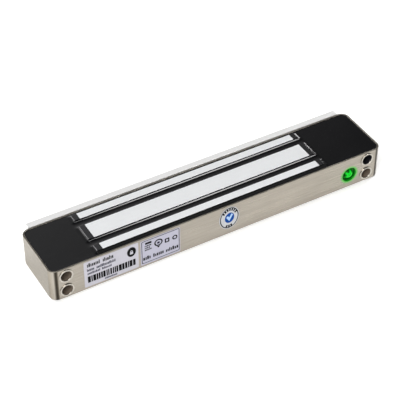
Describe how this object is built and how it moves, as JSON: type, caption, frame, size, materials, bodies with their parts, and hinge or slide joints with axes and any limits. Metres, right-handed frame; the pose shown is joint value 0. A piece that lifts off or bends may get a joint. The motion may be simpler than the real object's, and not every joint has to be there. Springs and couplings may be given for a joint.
{
  "type": "magnetic door lock",
  "caption": "Surface-mounted electromagnetic door lock: potted E-core magnet in a stainless case, with status lamp, screw sleeves and a mounting plate behind it.",
  "frame": {"origin": "middle of the footprint, on the underside of the case as it lies on its back", "axes": "+X along the lock, +Y out of the back of the mounting plate, +Z out of the pole faces"},
  "size_m": [0.25, 0.0514, 0.0264],
  "materials": {
    "stainless_case": "stainless sheet brushed along the length, satin",
    "black_resin": "black epoxy potting, self-levelled, semi-gloss",
    "ground_steel": "laminated silicon steel, pole faces ground flat and plated, satin",
    "black_moulding": "black glass-filled nylon, fine moulded texture",
    "bobbin_nylon": "black nylon",
    "enamelled_copper": "enamelled copper wire, wound in layers",
    "coil_tape": "yellow polyester tape",
    "zinc_plate": "zinc-plated steel",
    "nickel_plate": "nickel-plated flared steel tube",
    "screw_steel": "stainless socket-head screw",
    "board_laminate": "glass-epoxy circuit board with green solder mask",
    "component_black": "moulded black component body",
    "suppressor_blue": "blue epoxy-dipped disc",
    "wire_red": "red wire insulation",
    "wire_black": "black wire insulation",
    "tinned_wire": "tinned lead wire",
    "lamp_dish": "clear resin dish lit green by the lamp",
    "lamp_green": "lit green dome, glossy",
    "rubber": "black rubber",
    "aluminium_plate": "pale satin-anodised aluminium",
    "label_white": null,
    "label_silver": null,
    "sticker_paper": "white oval sticker with a dark ring and a blue oval"
  },
  "bodies": {
    "root": {"case_shell": "stainless_case", "potting_resin": "black_resin", "lamination_stack": "ground_steel", "end_cheek_left": "black_moulding", "end_cheek_right": "black_moulding", "coil_bobbin": "bobbin_nylon", "coil_winding": "enamelled_copper", "coil_tape": "coil_tape", "core_rivet_front": "zinc_plate", "core_rivet_rear": "zinc_plate", "sleeve_left_lower": "nickel_plate", "sleeve_left_upper": "nickel_plate", "sleeve_right_lower": "nickel_plate", "sleeve_right_upper": "nickel_plate", "fixing_screw_left": "screw_steel", "fixing_screw_right": "screw_steel", "circuit_board": "board_laminate", "bond_relay": "component_black", "bond_sensor": "component_black", "surge_suppressor": "suppressor_blue", "flyback_diode": "component_black", "coil_lead_start": "wire_red", "coil_lead_finish": "wire_black", "lamp_holder": "lamp_dish", "status_led": "lamp_green", "led_lead_anode": "tinned_wire", "led_lead_cathode": "tinned_wire", "cable_grommet": "rubber", "mounting_plate": "aluminium_plate", "rating_label": "label_white", "approval_label": "label_silver", "inspection_sticker": "sticker_paper"}
  },
  "joints": []
}
